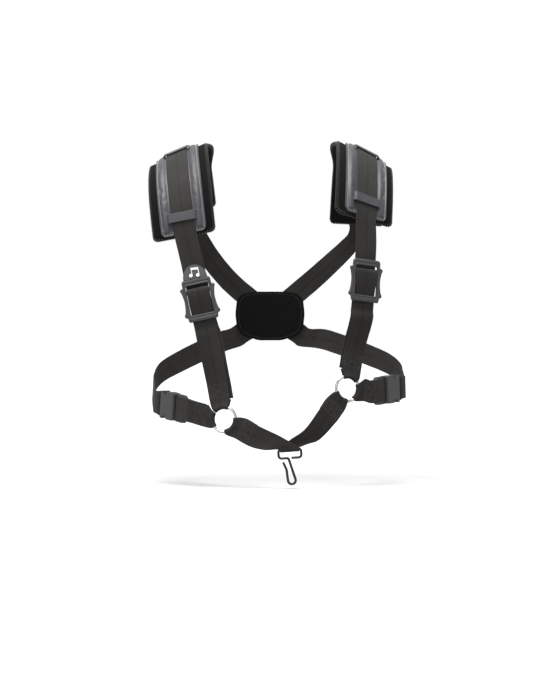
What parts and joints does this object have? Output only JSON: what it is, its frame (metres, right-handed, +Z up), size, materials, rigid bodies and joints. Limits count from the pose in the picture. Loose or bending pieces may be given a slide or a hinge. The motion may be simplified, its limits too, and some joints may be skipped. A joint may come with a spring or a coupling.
{
  "type": "two-shoulder saxophone harness",
  "caption": "Two-shoulder padded webbing harness with slide adjusters, ring junctions, side-release buckles, a back patch and a chest hook that carries a saxophone.",
  "frame": {"origin": "midway between the two shoulder pads, at the height of the shoulders that they rest on", "axes": "+Z up, -Y the way the wearer faces, +X towards the wearer's left hand"},
  "size_m": [0.2923, 0.2588, 0.3888],
  "materials": {
    "webbing": "woven nylon webbing",
    "felt": "black felt",
    "cover": "satin grey synthetic leather with light stitching",
    "plastic": "moulded acetal, satin",
    "emblem": "satin silver",
    "nickel": "bright nickel plate",
    "black_wire": "gloss black coating"
  },
  "bodies": {
    "harness": {"right_shoulder_webbing": "webbing", "left_shoulder_webbing": "webbing", "right_front_strap": "webbing", "left_front_strap": "webbing", "right_side_strap": "webbing", "left_side_strap": "webbing", "right_buckle_male": "plastic", "left_buckle_male": "plastic", "right_back_strap": "webbing", "left_back_strap": "webbing", "hook_strap": "webbing", "back_patch_outer": "cover", "back_patch_inner": "felt"},
    "right_pad": {"right_pad_base": "felt", "right_pad_cover": "cover", "right_pad_front_keeper": "cover", "right_pad_top_keeper": "cover", "right_pad_back_keeper": "cover"},
    "left_pad": {"left_pad_base": "felt", "left_pad_cover": "cover", "left_pad_front_keeper": "cover", "left_pad_top_keeper": "cover", "left_pad_back_keeper": "cover"},
    "right_slider": {"right_adjuster": "plastic", "adjuster_badge": "plastic", "badge_emblem": "emblem"},
    "left_slider": {"left_adjuster": "plastic"},
    "right_ring_body": {"right_ring": "nickel"},
    "left_ring_body": {"left_ring": "nickel"},
    "hook_body": {"hook": "black_wire"},
    "right_socket": {"right_buckle_female": "plastic"},
    "left_socket": {"left_buckle_female": "plastic"},
    "right_upper_prong_body": {"right_upper_prong": "plastic"},
    "right_lower_prong_body": {"right_lower_prong": "plastic"},
    "left_upper_prong_body": {"left_upper_prong": "plastic"},
    "left_lower_prong_body": {"left_lower_prong": "plastic"}
  },
  "joints": [
    {"name": "right_pad_slide", "type": "hinge", "parent": "harness", "child": "right_pad", "pos_m": [-0.094, 0, -0.0962], "axis": [0.9925, 0, 0.1219], "range_deg": [-6, 6]},
    {"name": "left_pad_slide", "type": "hinge", "parent": "harness", "child": "left_pad", "pos_m": [0.105, 0, -0.09685], "axis": [0.9986, 0, -0.0523], "range_deg": [-6, 6]},
    {"name": "right_adjuster_slide", "type": "slide", "parent": "harness", "child": "right_slider", "axis": [-0.2076, 0.1038, 0.9727], "range_m": [-0.017, 0.017], "deforming": ["right_front_strap"]},
    {"name": "left_adjuster_slide", "type": "slide", "parent": "harness", "child": "left_slider", "axis": [0.0647, 0.1354, 0.9887], "range_m": [-0.017, 0.017], "deforming": ["left_front_strap"]},
    {"name": "right_ring_spin", "type": "hinge", "parent": "harness", "child": "right_ring_body", "pos_m": [-0.0506, -0.1215, -0.2936], "axis": [-0.342, -0.9397, 0], "continuous": true},
    {"name": "left_ring_spin", "type": "hinge", "parent": "harness", "child": "left_ring_body", "pos_m": [0.085, -0.12, -0.26], "axis": [0.4384, -0.8988, 0], "continuous": true},
    {"name": "hook_swing", "type": "hinge", "parent": "harness", "child": "hook_body", "pos_m": [0.0213, -0.136, -0.3258], "axis": [0.9976, 0, 0.0698], "range_deg": [-50, 50]},
    {"name": "right_buckle_release", "type": "slide", "parent": "harness", "child": "right_socket", "axis": [-0.559, 0.8204, 0.1206], "range_m": [0, 0.036], "deforming": ["right_back_strap"]},
    {"name": "left_buckle_release", "type": "slide", "parent": "harness", "child": "left_socket", "axis": [0.5421, 0.8382, 0.0602], "range_m": [0, 0.036], "deforming": ["left_back_strap"]},
    {"name": "right_upper_prong_press", "type": "hinge", "parent": "harness", "child": "right_upper_prong_body", "pos_m": [-0.10496, -0.08295, -0.27145], "axis": [-0.8264, -0.5631, 0.0001], "range_deg": [0, 8], "stiffness_Nm_per_rad": 0.06},
    {"name": "right_lower_prong_press", "type": "hinge", "parent": "harness", "child": "right_lower_prong_body", "pos_m": [-0.10631, -0.08097, -0.2911], "axis": [0.8264, 0.5631, -0.0001], "range_deg": [0, 8], "stiffness_Nm_per_rad": 0.06},
    {"name": "left_upper_prong_press", "type": "hinge", "parent": "harness", "child": "left_upper_prong_body", "pos_m": [0.12793, -0.08356, -0.25226], "axis": [-0.8397, 0.543, 0.0002], "range_deg": [0, 8], "stiffness_Nm_per_rad": 0.06},
    {"name": "left_lower_prong_press", "type": "hinge", "parent": "harness", "child": "left_lower_prong_body", "pos_m": [0.12857, -0.08256, -0.27202], "axis": [0.8397, -0.543, -0.0002], "range_deg": [0, 8], "stiffness_Nm_per_rad": 0.06}
  ]
}
